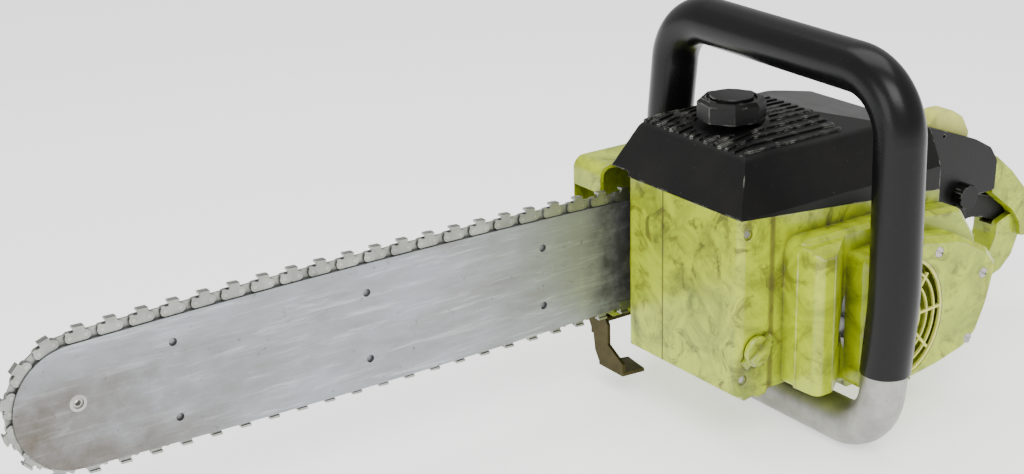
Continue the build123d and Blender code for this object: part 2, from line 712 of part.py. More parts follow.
def fan_outline():
    with BuildSketch() as outline:
        with BuildLine():
            FilletPolyline((40, -63), (40, 44), (125, 43), (196, 36), (214, 10), (219, -8), (203, -60),
                           (186, -72), (150, -81), (96, -73), (62, -67), close=True,
                           radius=(3, 10, 20, 14, 8, 8, 12, 14, 20, 12, 6))
        make_face()
    return outline.sketch


with BuildPart() as fan_housing:
    with BuildSketch(side(LEFT_Y - 0.05)):
        add(fan_outline())
    extrude(amount=LEFT_Y - 0.05 - FAN_OUT_Y)
    chamfer(faces().sort_by(Axis.Y)[0].edges(), 3.0)
    with BuildSketch(level(-64)) as bulge_plan:
        Polygon((40.5, -146), (42, BULGE_Y), (56, BULGE_Y), (66, -161), (81, FAN_OUT_Y), (81, -146), align=None)
        fillet(bulge_plan.vertices().sort_by(Axis.Y)[0:2], 6)
    extrude(amount=105)
    with BuildSketch(across(0)):
        Polygon((-146, 60), (-146, 44), (BULGE_Y + 3, 38.5), (BULGE_Y - 2, 34), (BULGE_Y - 10, 34),
                (BULGE_Y - 10, 60), align=None)
    extrude(amount=120, mode=Mode.SUBTRACT)
    disc(LEFT_Y + 5, FAN_R + 2.5, 30)
    disc(LEFT_Y + 5, FAN_R + 2.5, 40, mode=Mode.SUBTRACT)
    with BuildSketch(side(LEFT_Y + 5)):
        with Locations((CRANK_X, CRANK_Z + FAN_R + 10)):
            Rectangle(40, 26)
    extrude(amount=20, mode=Mode.SUBTRACT)
    # three-cornered pocket in the ramp
    with BuildSketch(side(-140)):
        Polygon((68, -38), (79, -38), (79, -8), align=None)
    extrude(amount=18, mode=Mode.SUBTRACT)
    # hollow behind the bulge
    with BuildSketch(side(LEFT_Y + 5)):
        with Locations((57, -12)):
            Rectangle(22, 86)
    extrude(amount=30, mode=Mode.SUBTRACT)
    with BuildSketch(side(-130)):
        with Locations(*STARTER_SCREWS):
            Circle(2.2)
    extrude(amount=40, mode=Mode.SUBTRACT)
save("fan_housing", fan_housing.part)


def starter_outline():
    with BuildSketch() as outline:
        with BuildLine():
            FilletPolyline((83, 28), (136, 31), (176, 24), (206, 8), (217, -6), (209, -35), (199, -56),
                           (186, -66), (160, -72), (129, -76), (84, -71), close=True,
                           radius=(5, 30, 24, 8, 8, 20, 10, 12, 20, 20, 6))
        make_face()
    return outline.sketch


with BuildPart() as starter_cover:
    with BuildSketch(side(FAN_OUT_Y - 0.05)):
        add(starter_outline())
    extrude(amount=FAN_OUT_Y - 0.05 - STARTER_Y)
    chamfer(faces().sort_by(Axis.Y)[0].edges(), 4.0)
    with BuildSketch(side(FAN_OUT_Y + 2)):
        offset(starter_outline(), -5.5)
        with Locations(*STARTER_SCREWS):
            Circle(5, mode=Mode.SUBTRACT)
    extrude(amount=FAN_OUT_Y + 2 - STARTER_Y - 3, mode=Mode.SUBTRACT)
    with BuildSketch(side(FAN_OUT_Y)):
        with Locations((GRILLE_X, GRILLE_Z)):
            Ellipse(GRILLE_A, GRILLE_B)
    extrude(amount=30, mode=Mode.SUBTRACT)
    with BuildSketch(side(FAN_OUT_Y + 1)):
        with Locations(*STARTER_SCREWS):
            Circle(2.2)
    extrude(amount=30, mode=Mode.SUBTRACT)
    with BuildSketch(side(STARTER_Y + 2.2)):
        with Locations(*STARTER_SCREWS):
            Circle(4.2)
    extrude(amount=10, mode=Mode.SUBTRACT)
    with Locations(at(CRANK_X, -160, 28)):
        Cylinder(3.5, 20, mode=Mode.SUBTRACT)
save("starter_cover", starter_cover.part)

GUARD_T = 2.0
SPOKES = 7

with BuildPart() as starter_grille:
    with BuildSketch(side(STARTER_Y + 0.4 + GUARD_T)):
        with Locations((GRILLE_X, GRILLE_Z)):
            for share, band in ((0.995, 2.2), (0.80, 1.3), (0.61, 1.3), (0.42, 1.3)):
                Ellipse(GRILLE_A * share, GRILLE_B * share)
                Ellipse(GRILLE_A * share - band, GRILLE_B * share - band, mode=Mode.SUBTRACT)
            with PolarLocations(19.2, SPOKES, start_angle=3):
                Rectangle(35, 1.8)
            Circle(6)
    extrude(amount=GUARD_T)
    with BuildSketch(side(STARTER_Y + 0.4 + GUARD_T)):
        with Locations((GRILLE_X, GRILLE_Z)):
            Rectangle(300, 300)
            Ellipse(GRILLE_A - 0.2, GRILLE_B - 0.2, mode=Mode.SUBTRACT)
    extrude(amount=GUARD_T, mode=Mode.SUBTRACT)
    disc(-153.5, 4.0, 15)
save("starter_grille", starter_grille.part)

with BuildPart() as starter_pulley:
    disc(-155.0, 22, 7)
    disc(-156.5, 40, 4, mode=Mode.SUBTRACT)
    disc(-156.5, 15, 4)
    disc(-150.0, 4.06, 30, mode=Mode.SUBTRACT)
save("starter_pulley", starter_pulley.part)

with BuildPart() as starter_rope:
    disc(-156.7, 20.5, 3.6)
    disc(-156.7, 15.1, 3.6, mode=Mode.SUBTRACT)
save("starter_rope", starter_rope.part)

with BuildPart() as recoil_spring:
    for radius in (7.5, 10.5, 13.5, 16.5):
        disc(-162.6, radius, 3.6)
        disc(-162.6, radius - 0.7, 3.6, mode=Mode.SUBTRACT)
        with BuildSketch(side(-162.6)):
            with Locations((CRANK_X + radius + 1.2, CRANK_Z)):
                Rectangle(3.9, 0.8)
        extrude(amount=3.6)
save("recoil_spring", recoil_spring.part)

with BuildPart() as starter_grip:
    with BuildSketch(side(-153)):
        with Locations((CRANK_X, 40)):
            RectangleRounded(34, 11, 5)
        with Locations((CRANK_X, 33.5)):
            Rectangle(12, 5)
    extrude(amount=14)
    fillet(edges().filter_by(Axis.Z), 3)
save("starter_grip", starter_grip.part)

with BuildPart() as starter_rope_lead:
    with Locations(at(CRANK_X, -160, 28)):
        Cylinder(1.7, 6)
save("starter_rope_lead", starter_rope_lead.part)

with BuildPart() as flywheel:
    disc(-138.0, FAN_R, 6)
    for i in range(14):
        angle = radians(i * 360 / 14)
        blade_x = CRANK_X + 29 * cos(angle)
        blade_z = CRANK_Z + 29 * sin(angle)
        with Locations(Location(at(blade_x, -146.0, blade_z), (0, -degrees(angle) + 20, 0))):
            Box(19, 7, 2.2)
    disc(-138.0, 14, 15)
    disc(-130.0, SHAFT_R + 0.02, 60, mode=Mode.SUBTRACT)
save("flywheel", flywheel.part)

with BuildPart() as ignition_coil:
    with BuildSketch(side(LEFT_Y - 2)):
        with Locations((CRANK_X, CRANK_Z + FAN_R + 10)):
            RectangleRounded(34, 16, 3)
    extrude(amount=12)
save("ignition_coil", ignition_coil.part)

with BuildPart() as starter_screws:
    for x, z in STARTER_SCREWS:
        disc(STARTER_Y + 2.1, 3.9, 2.0, x=x, z=z)
        disc(-140.0, 2.1, 28, x=x, z=z)
        with Locations(Location(at(x, STARTER_Y, z), (0, 30, 0))):
            Box(8, 1.6, 1.2, mode=Mode.SUBTRACT)
    for x, z in STRIP_SCREWS:
        disc(LEFT_Y + 6, SCREW_R - 0.05, 4.4, x, z)
save("starter_screws", starter_screws.part)

# ---------------------------------------------------------------------------
# Breathing, ignition and exhaust inside the power head
# ---------------------------------------------------------------------------
PLUG_PLACE = Location(at(CRANK_X + 10, CYL_Y, HEAD_Z), (0, PLUG_TILT, 0))

with BuildPart() as spark_plug:
    with Locations(PLUG_PLACE * Location((0, 0, 4))):
        Cylinder(4.5, 15)
    with Locations(PLUG_PLACE * Location((0, 0, 15))):
        Cylinder(8, 5)
    with Locations(PLUG_PLACE * Location((0, 0, 20))):
        Cylinder(5, 12)
save("spark_plug", spark_plug.part)

with BuildPart() as plug_boot:
    with Locations(PLUG_PLACE * Location((0, 0, 24))):
        Cylinder(7.5, 12)
        Cylinder(5.05, 12, mode=Mode.SUBTRACT)
    with Locations(PLUG_PLACE * Location((0, 0, 31))):
        Cylinder(7.5, 6)
save("plug_boot", plug_boot.part)

with BuildPart() as muffler:
    with BuildSketch(side(CYL_Y + 26)):
        with Locations((63, 34)):
            RectangleRounded(40, 44, 6)
    extrude(amount=52)
    with BuildSketch(side(CYL_Y + 24)):
        with Locations((63, 34)):
            RectangleRounded(37, 41, 5)
    extrude(amount=48, mode=Mode.SUBTRACT)
    with Locations(at(58, CYL_Y, 12)):
        Cylinder(6, 6, mode=Mode.SUBTRACT)
save("muffler", muffler.part)

with BuildPart() as intake_boot:
    with Locations(Location(at(CRANK_X + 36.2 + 5, CYL_Y, 36), (0, 90, 0))):
        Cylinder(13, 10)
        Cylinder(8, 10, mode=Mode.SUBTRACT)
save("intake_boot", intake_boot.part)

CARB_X = (CRANK_X + 46.4, BODY_REAR - 7)

with BuildPart() as carburetor:
    with BuildSketch(across(CARB_X[0])):
        with Locations((CYL_Y, 36)):
            RectangleRounded(34, 36, 4)
            Circle(8, mode=Mode.SUBTRACT)
    extrude(amount=13)
save("carburetor", carburetor.part)

FILTER_X = 55.0            # axis of the filter knob
FILTER_Y = -60.0

with BuildPart() as air_filter:
    with BuildSketch(level(68)):
        with Locations((FILTER_X - 3, FILTER_Y)):
            RectangleRounded(50, 84, 10)
            with Locations((3, 0)):
                Circle(4.2, mode=Mode.SUBTRACT)
    extrude(amount=26)
save("air_filter", air_filter.part)

# ---------------------------------------------------------------------------
# Top cover with its ribs, and the knob that holds it down
# ---------------------------------------------------------------------------
COVER_WALL = 3.0
COVER_FAR = 10.5


def cover_block(inset):
    """Solid of the cover's outer shape, drawn in all round by inset."""
    drop = 0 if inset <= 0 else 30
    with BuildPart(mode=Mode.PRIVATE) as block:
        with BuildSketch(side(COVER_FAR + 5)):
            with BuildLine():
                FilletPolyline((inset, rim(0) + 0.1 - drop), (18 + inset, 100 - inset), (70, 108.5 - inset),
                               (112, 108 - inset), (BODY_REAR - inset, 91 - inset),
                               (BODY_REAR - inset, rim(BODY_REAR) + 0.1 - drop), close=True,
                               radius=(0.5, 9, 30, 60, 4, 0.5))
            make_face()
        extrude(amount=COVER_FAR - LEFT_Y + 10)
        with BuildSketch(across(-10)):
            with BuildLine():
                FilletPolyline((LEFT_Y + inset, -20), (LEFT_Y + inset, TOP_Z), (-118 + inset, 99 - inset),
                               (-64, 112 - inset), (-6 - inset, 103 - inset), (COVER_FAR - inset, TOP_Z),
                               (COVER_FAR - inset, -20), close=True, radius=(1, 1, 9, 80, 12, 1, 1))
            make_face()
        extrude(amount=BODY_REAR + 20, mode=Mode.INTERSECT)
    return block.part


cover_outer = cover_block(0)
cover_inner = cover_block(COVER_WALL)
cover_ribbed = cover_block(-1.2)
RIBS = 15

with BuildPart() as top_cover:
    add(cover_outer)
    add(cover_inner, mode=Mode.SUBTRACT)
    with Locations(at(FILTER_X, FILTER_Y, 104)):
        Cylinder(4.5, 40, mode=Mode.SUBTRACT)
    # notch over the handle lug
    with Locations(at(HANDLE_X, 12, 62)):
        Box(44, 60, 16, mode=Mode.SUBTRACT)
    # step over the top of the clutch cover
    with Locations(at(20, 9.1, 57.4)):
        Box(68, 41, 20, mode=Mode.SUBTRACT)
    with Locations(at(124, 9.1, 46)):
        Box(144, 41, 20, mode=Mode.SUBTRACT)
    # clearance for the upper leg of the handle
    with Locations(at(HANDLE_X, 36, 90)):
        Cylinder(SLEEVE_R + 6, 80, mode=Mode.SUBTRACT)

with BuildPart() as rib_bars:
    with Locations(*[at(66, -110 + 7.4 * i, 100) for i in range(RIBS)]):
        Box(92, 2.6, 40)
    add(cover_ribbed, mode=Mode.INTERSECT)
    add(cover_block(0.4), mode=Mode.SUBTRACT)
    with Locations(at(FILTER_X, FILTER_Y, 104)):
        Cylinder(27, 60, mode=Mode.SUBTRACT)
    with Locations(at(HANDLE_X, 36, 90)):
        Cylinder(SLEEVE_R + 6, 80, mode=Mode.SUBTRACT)

with BuildPart() as top_cover_ribbed:
    add(top_cover.part)
    add(rib_bars.part)
save("top_cover", top_cover_ribbed.part)

KNOB_Z = 109.5

with BuildPart() as filter_knob:
    with BuildSketch(level(KNOB_Z)):
        with Locations((FILTER_X, FILTER_Y)):
            RegularPolygon(24.5, 8, rotation=10)
    extrude(amount=14.5)
    chamfer(faces().sort_by(Axis.Z)[-1].edges(), 2.5)
    with Locations(at(FILTER_X, FILTER_Y, KNOB_Z + 14.5)):
        Cylinder(18, 3, mode=Mode.SUBTRACT)
        Cylinder(15.5, 3.2)
save("filter_knob", filter_knob.part)

# ---------------------------------------------------------------------------
# Rear grip, rear handle and the throttle controls
# ---------------------------------------------------------------------------
GRIP_HALF = 20.0
GRIP_REAR = 314.0
TRIGGER_X = 268.0          # trigger pivot
TRIGGER_Z = -1.0
LEVER_X = 252.0            # palm lever pivot
LEVER_Z = 61.0
CHOKE_X = 274.0            # axis of the choke knob
CHOKE_Z = 9.5
SWITCH_X = 225.0           # centre of the stop switch
SWITCH_Z = 55.0

with BuildPart() as rear_grip:
    with BuildSketch(side(GRIP_Y + GRIP_HALF)):
        with BuildLine():
            FilletPolyline((BODY_REAR + 0.4, 89), (252, 65.5), (288, 52), (306, 42), (GRIP_REAR, 30),
                           (GRIP_REAR - 1, 6), (286, 5), (274, -31), (BODY_REAR + 0.4, -31), close=True,
                           radius=(4, 20, 20, 9, 8, 2, 6, 4, 3))
        make_face()
    extrude(amount=2 * GRIP_HALF)
    with BuildSketch(side(GRIP_Y + 6)):
        Polygon((240, 0), (330, 0), (330, 8), (300, 9), (240, 18), align=None)
        Polygon((BODY_REAR - 5, 16), (245, -20), (330, -40), (330, 6), (262, 14), (BODY_REAR - 5, 40), align=None)
    extrude(amount=12, mode=Mode.SUBTRACT)
    # seat for the palm lever
    with BuildSketch(side(GRIP_Y + 8)):
        Polygon((245, 57), (296, 33), (296, 80), (245, 80), align=None)
    extrude(amount=16, mode=Mode.SUBTRACT)
    with BuildSketch(side(GRIP_Y + GRIP_HALF)):
        with Locations((TRIGGER_X, TRIGGER_Z)):
            Circle(2.05)
        with Locations((LEVER_X, LEVER_Z)):
            Circle(1.55)
    extrude(amount=2 * GRIP_HALF, mode=Mode.SUBTRACT)
    with BuildSketch(side(GRIP_Y - GRIP_HALF + 10)):
        with Locations((CHOKE_X, CHOKE_Z)):
            Circle(3.1)
    extrude(amount=12, mode=Mode.SUBTRACT)
    with BuildSketch(side(GRIP_Y + GRIP_HALF)):
        with Locations((SWITCH_X, SWITCH_Z)):
            Rectangle(15, 8)
    extrude(amount=7, mode=Mode.SUBTRACT)
save("rear_grip", rear_grip.part)

with BuildPart() as rear_handle:
    with BuildSketch(side(GRIP_Y + 17)):
        with BuildLine():
            FilletPolyline((GRIP_REAR + 0.1, 34), (336, 16), (351, 0), (364, -13), (368, -20), (364, -44),
                           (352, -43), (349, -30), (340, -18), (GRIP_REAR + 0.1, 2), close=True,
                           radius=(2, 30, 30, 10, 5, 2, 2, 6, 8, 2))
        make_face()
    extrude(amount=34)
    with BuildSketch(side(GRIP_Y + 12)):
        with BuildLine():
            FilletPolyline((BODY_REAR + 0.2, -32), (290, -32), (302, -37), (305, -48), (312, -54), (322, -51),
                           (328, -40), (329, -28), (350, -22), (362, -30), (354, -46), (348, -60), (336, -70),
                           (300, -80), (BODY_REAR + 0.2, -84), close=True,
                           radius=(1, 8, 6, 5, 5, 6, 8, 3, 4, 4, 8, 8, 10, 30, 1))
        make_face()
    extrude(amount=24)
    with BuildSketch(side(GRIP_Y + 6.5)):
        Polygon((GRIP_REAR - 1, 22), (GRIP_REAR - 1, -31.5), (336, -31.5), (352.5, -26), (352.5, -14), (344, -2),
                (330, 10), align=None)
    extrude(amount=13, mode=Mode.SUBTRACT)
    with BuildSketch(side(GRIP_Y + 17)):
        with Locations((358, -26)):
            Ellipse(3.0, 5.2)
    extrude(amount=34, mode=Mode.SUBTRACT)
save("rear_handle", rear_handle.part)

with BuildPart() as trigger:
    with BuildSketch(side(GRIP_Y + 5.5)):
        with BuildLine():
            FilletPolyline((262, 5), (275, 6), (312, -2), (334, -9), (347, -23), (334, -29.5), (318, -22.5),
                           (303, -19.5), (290, -22), (282, -28), (274, -22), (262, -8), close=True,
                           radius=(4, 6, 10, 8, 2, 3, 14, 20, 14, 4, 6, 5))
        make_face()
        with Locations((TRIGGER_X, TRIGGER_Z)):
            Circle(2.06, mode=Mode.SUBTRACT)
    extrude(amount=11)
save("trigger", trigger.part)

with BuildPart() as control_pins:
    disc(GRIP_Y + GRIP_HALF - 0.5, 2.0, 2 * GRIP_HALF - 1, TRIGGER_X, TRIGGER_Z)
    disc(GRIP_Y + GRIP_HALF - 3, 1.5, 2 * GRIP_HALF - 6, LEVER_X, LEVER_Z)
save("control_pins", control_pins.part)

with BuildPart() as interlock_lever:
    with BuildSketch(side(GRIP_Y + 7.6)):
        with BuildLine():
            FilletPolyline((247, 60), (248, 68), (258, 76.5), (272, 76), (285, 68), (293, 54), (291, 47),
                           (280, 48), (256, 58), (250, 56.5), close=True,
                           radius=(3, 4, 9, 10, 10, 5, 2, 6, 3, 2))
        make_face()
        with Locations((LEVER_X, LEVER_Z)):
            Circle(1.56, mode=Mode.SUBTRACT)
    extrude(amount=15.2)
save("interlock_lever", interlock_lever.part)

ROD_FRONT = (184.0, 31.5)
ROD_REAR = (257.0, 6.5)
rod_run = (Vector(*ROD_REAR) - Vector(*ROD_FRONT)).length
rod_fall = Vector(*ROD_REAR).Y - Vector(*ROD_FRONT).Y

with BuildPart() as throttle_rod:
    with BuildSketch(Plane(origin=at(ROD_FRONT[0], GRIP_Y, ROD_FRONT[1]), x_dir=(0, 1, 0),
                           z_dir=(ROD_REAR[0] - ROD_FRONT[0], 0, rod_fall))):
        Circle(1.5)
    extrude(amount=rod_run)
save("throttle_rod", throttle_rod.part)

with BuildPart() as choke_knob:
    disc(GRIP_Y - GRIP_HALF - 0.3, 10, 9, CHOKE_X, CHOKE_Z)
    with BuildSketch(side(GRIP_Y - GRIP_HALF - 0.3)):
        with Locations((CHOKE_X, CHOKE_Z)):
            with PolarLocations(10.6, 10):
                Circle(1.5)
    extrude(amount=9, mode=Mode.SUBTRACT)
    disc(GRIP_Y - GRIP_HALF + 9, 3.0, 10, CHOKE_X, CHOKE_Z)
save("choke_knob", choke_knob.part)

with BuildPart() as stop_switch:
    with BuildSketch(side(GRIP_Y + GRIP_HALF - 0.5)):
        with Locations((SWITCH_X - 3.5, SWITCH_Z)):
            Rectangle(7.6, 7.6)
    extrude(amount=5.5)
    with BuildSketch(side(GRIP_Y + GRIP_HALF + 2.5)):
        with Locations((SWITCH_X - 3.5, SWITCH_Z)):
            Rectangle(4, 6.5)
    extrude(amount=4)
save("stop_switch", stop_switch.part)

# ---------------------------------------------------------------------------
# Front handle
# ---------------------------------------------------------------------------
LEG_X = 36.0               # y of the far leg where it stands on the lug

with BuildPart() as front_handle:
    with BuildLine(across(HANDLE_X)) as loop:
        FilletPolyline((LEG_X, 68.8), (LEG_X, 84), (26, 166), (-198, 161), (-201, 10), (-191, -95), (-30, -95),
                       radius=(90, 40, 42, 300, 38))
    with BuildSketch(Plane(origin=loop.line @ 0, z_dir=loop.line % 0)):
        Circle(TUBE_R)
    sweep()
    with BuildPart(mode=Mode.PRIVATE) as bore:
        with BuildSketch(Plane(origin=loop.line @ 0, z_dir=loop.line % 0)):
            Circle(TUBE_BORE_R)
        sweep(path=loop.line)
        with Locations(at(HANDLE_X, LEG_X, 76)):
            Box(40, 40, 26, mode=Mode.SUBTRACT)
        with Locations(at(HANDLE_X, -30, -95)):
            Box(40, 8, 40, mode=Mode.SUBTRACT)
    add(bore.part, mode=Mode.SUBTRACT)
    with Locations(at(HANDLE_X, LEG_X, 78)):
        Cylinder(4.1, 24, mode=Mode.SUBTRACT)
    with Locations(*[at(HANDLE_X, y, TUBE_TOP_Z - 6) for y in HANDLE_BOLT_YS]):
        Cylinder(2.6, 14, mode=Mode.SUBTRACT)
save("front_handle", front_handle.part)

with BuildPart() as handle_sleeve:
    with BuildSketch(Plane(origin=loop.line @ 0, z_dir=loop.line % 0)):
        Circle(SLEEVE_R)
        Circle(TUBE_R + 0.02, mode=Mode.SUBTRACT)
    sweep(path=loop.line)
    with Locations(at(HANDLE_X, LEG_X, 60)):
        Box(60, 60, 24, mode=Mode.SUBTRACT)
    with Locations(at(HANDLE_X, -110, -84)):
        Box(60, 260, 80, mode=Mode.SUBTRACT)
save("handle_sleeve", handle_sleeve.part)

with BuildPart() as handle_clamp:
    with Locations(at(HANDLE_X, -50, TUBE_TOP_Z - 8)):
        Box(32, 30, 16)
    disc(-20, TUBE_R + 0.02, 70, HANDLE_X, -95, Mode.SUBTRACT)
    with Locations(*[at(HANDLE_X, y, TUBE_TOP_Z) for y in HANDLE_BOLT_YS]):
        Cylinder(2.6, 20, mode=Mode.SUBTRACT)
save("handle_clamp", handle_clamp.part)

with BuildPart() as handle_bolts:
    with Locations(at(HANDLE_X, LEG_X, 72)):
        Cylinder(4.05, 28)
    with Locations(at(HANDLE_X, LEG_X, 56.4)):
        Cylinder(7, 2.2)
    with Locations(*[at(HANDLE_X, y, TUBE_TOP_Z + WALL + 2) for y in HANDLE_BOLT_YS]):
        Cylinder(4.2, 4)
    with Locations(*[at(HANDLE_X, y, TUBE_TOP_Z - 3) for y in HANDLE_BOLT_YS]):
        Cylinder(2.55, 14)
save("handle_bolts", handle_bolts.part)

# ---------------------------------------------------------------------------
# Filler caps and the remaining screws
# ---------------------------------------------------------------------------


def filler_cap(place):
    """Quarter-turn cap: rim, raised bar and two bayonet tabs, axis out of the wall."""
    with BuildPart(mode=Mode.PRIVATE) as cap:
        with Locations(place * Location((0, 0, 2.3))):
            Cylinder(11, 4)
        chamfer(cap.edges().filter_by(GeomType.CIRCLE), 0.8)
        with Locations(place * Location((0, 0, 5.3))):
            Box(20, 5, 3)
        with Locations(place * Location((12, 0, 2.0))):
            Box(5, 6, 3)
        with Locations(place * Location((-12, 0, 2.0))):
            Box(5, 6, 3)
        with Locations(place * Location((0, 0, -3))):
            Cylinder(CAP_NECK_R - 0.1, 8)
    return cap.part


with BuildPart() as oil_cap:
    add(filler_cap(Location(at(CAP_X, LEFT_Y, CAP_Z), (90, 0, 0)) * Location((0, 0, 0), (0, 0, 35))))
save("oil_cap", oil_cap.part)

with BuildPart() as fuel_cap:
    add(filler_cap(Location(at(BODY_REAR, FUEL_Y, FUEL_Z), (0, 90, 0))))
save("fuel_cap", fuel_cap.part)

with BuildPart() as filter_stud:
    with Locations(at(FILTER_X, FILTER_Y, 90.7)):
        Cylinder(3.85, 37.3)
save("filter_stud", filter_stud.part)
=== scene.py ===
import json
import math

import bpy
import bmesh
from mathutils import Matrix, Vector


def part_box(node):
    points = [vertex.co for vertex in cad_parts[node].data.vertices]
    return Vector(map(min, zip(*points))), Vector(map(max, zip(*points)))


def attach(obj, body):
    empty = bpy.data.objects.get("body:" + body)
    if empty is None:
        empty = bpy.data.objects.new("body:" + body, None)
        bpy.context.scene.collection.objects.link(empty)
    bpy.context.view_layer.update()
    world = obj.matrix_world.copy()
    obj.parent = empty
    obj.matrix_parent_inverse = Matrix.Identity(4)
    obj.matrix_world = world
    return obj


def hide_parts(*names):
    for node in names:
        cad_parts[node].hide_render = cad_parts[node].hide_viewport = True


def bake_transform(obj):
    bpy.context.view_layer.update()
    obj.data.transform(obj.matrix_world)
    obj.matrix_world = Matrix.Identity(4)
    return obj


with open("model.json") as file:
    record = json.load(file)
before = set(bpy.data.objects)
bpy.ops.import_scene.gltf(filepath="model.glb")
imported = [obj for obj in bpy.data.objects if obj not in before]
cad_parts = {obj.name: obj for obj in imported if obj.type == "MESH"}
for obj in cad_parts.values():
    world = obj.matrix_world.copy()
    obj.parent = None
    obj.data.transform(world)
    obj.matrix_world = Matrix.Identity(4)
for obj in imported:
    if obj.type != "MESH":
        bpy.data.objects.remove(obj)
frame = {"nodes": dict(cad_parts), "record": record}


def write_size():
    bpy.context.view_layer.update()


write_size()
N = frame["nodes"]
FX, BY, BZ = 49.13, 81.51, 110.8


def P(x, y, z):
    """Saw frame in millimetres to the row frame in metres."""
    return Vector(((x + FX) / 1000, (y + BY) / 1000, (z + BZ) / 1000))


# ---------------------------------------------------------------- materials
class Mat:
    """Small helper round a node tree: base shader plus layers of procedural wear and dirt, painted shade in recesses
    and painted edge highlights.
    """

    def __init__(self, name, color, rough=0.5, metal=0.0, coat=0.0):
        self.m = bpy.data.materials.new(name)
        self.m.use_nodes = True
        self.t = self.m.node_tree
        self.s = self.t.nodes["Principled BSDF"]
        self.s.inputs["Metallic"].default_value = metal
        self.s.inputs["Roughness"].default_value = rough
        self.s.inputs["Coat Weight"].default_value = coat
        self.s.inputs["Base Color"].default_value = (*color, 1)
        self.tc = self.t.nodes.new("ShaderNodeTexCoord")
        self.col = None
        self.rgh = None
        self.base = color
        self.rough = rough

    def noise(self, scale, detail=6, rough=0.6, stretch=(1, 1, 1), dist=0.0):
        mp = self.t.nodes.new("ShaderNodeMapping")
        mp.inputs["Scale"].default_value = stretch
        self.t.links.new(self.tc.outputs["Object"], mp.inputs["Vector"])
        n = self.t.nodes.new("ShaderNodeTexNoise")
        n.inputs["Scale"].default_value = scale
        n.inputs["Detail"].default_value = detail
        n.inputs["Roughness"].default_value = rough
        n.inputs["Distortion"].default_value = dist
        self.t.links.new(mp.outputs[0], n.inputs["Vector"])
        return n.outputs["Fac"]

    def ramp(self, fac, a, b):
        r = self.t.nodes.new("ShaderNodeMapRange")
        r.inputs["From Min"].default_value = a
        r.inputs["From Max"].default_value = b
        self.t.links.new(fac, r.inputs["Value"])
        return r.outputs[0]

    def math(self, op, a, b):
        n = self.t.nodes.new("ShaderNodeMath")
        n.operation = op
        n.use_clamp = True
        for i, v in enumerate((a, b)):
            if isinstance(v, (int, float)):
                n.inputs[i].default_value = v
            else:
                self.t.links.new(v, n.inputs[i])
        return n.outputs[0]

    def edges(self, radius=0.0022):
        g = self.t.nodes.new("ShaderNodeNewGeometry")
        b = self.t.nodes.new("ShaderNodeBevel")
        b.samples = 4
        b.inputs["Radius"].default_value = radius
        d = self.t.nodes.new("ShaderNodeVectorMath")
        d.operation = "DOT_PRODUCT"
        self.t.links.new(g.outputs["Normal"], d.inputs[0])
        self.t.links.new(b.outputs[0], d.inputs[1])
        return self.ramp(d.outputs["Value"], 0.985, 0.86)

    # Ambient-occlusion mask of recesses and creases between parts; layers using it paint shade there.
    def occlusion_shade_mask(self, dist=0.012, a=0.75, b=0.35):
        ao = self.t.nodes.new("ShaderNodeAmbientOcclusion")
        ao.samples = 6
        ao.inputs["Distance"].default_value = dist
        return self.ramp(ao.outputs["AO"], a, b)

    def layer(self, fac, color, rough=None, amount=1.0):
        if amount != 1.0:
            fac = self.math("MULTIPLY", fac, amount)
        mx = self.t.nodes.new("ShaderNodeMix")
        mx.data_type = "RGBA"
        self.t.links.new(fac, mx.inputs["Factor"])
        for i in mx.inputs:
            if i.name == "A" and i.type == "RGBA":
                if self.col is None:
                    i.default_value = (*self.base, 1)
                else:
                    self.t.links.new(self.col, i)
            if i.name == "B" and i.type == "RGBA":
                i.default_value = (*color, 1)
        self.col = [o for o in mx.outputs if o.type == "RGBA"][0]
        self.t.links.new(self.col, self.s.inputs["Base Color"])
        if rough is not None:
            mr = self.t.nodes.new("ShaderNodeMix")
            mr.data_type = "FLOAT"
            self.t.links.new(fac, mr.inputs[0])
            if self.rgh is None:
                mr.inputs[2].default_value = self.rough
            else:
                self.t.links.new(self.rgh, mr.inputs[2])
            mr.inputs[3].default_value = rough
            self.rgh = mr.outputs[0]
            self.t.links.new(self.rgh, self.s.inputs["Roughness"])
        return self

    def bump(self, fac, strength=0.2, dist=0.0004):
        b = self.t.nodes.new("ShaderNodeBump")
        b.inputs["Strength"].default_value = strength
        b.inputs["Distance"].default_value = dist
        self.t.links.new(fac, b.inputs["Height"])
        self.t.links.new(b.outputs[0], self.s.inputs["Normal"])
        return self


def spots(m, scale, a, b, detail=8):
    return m.ramp(m.noise(scale, detail, 0.7), a, b)


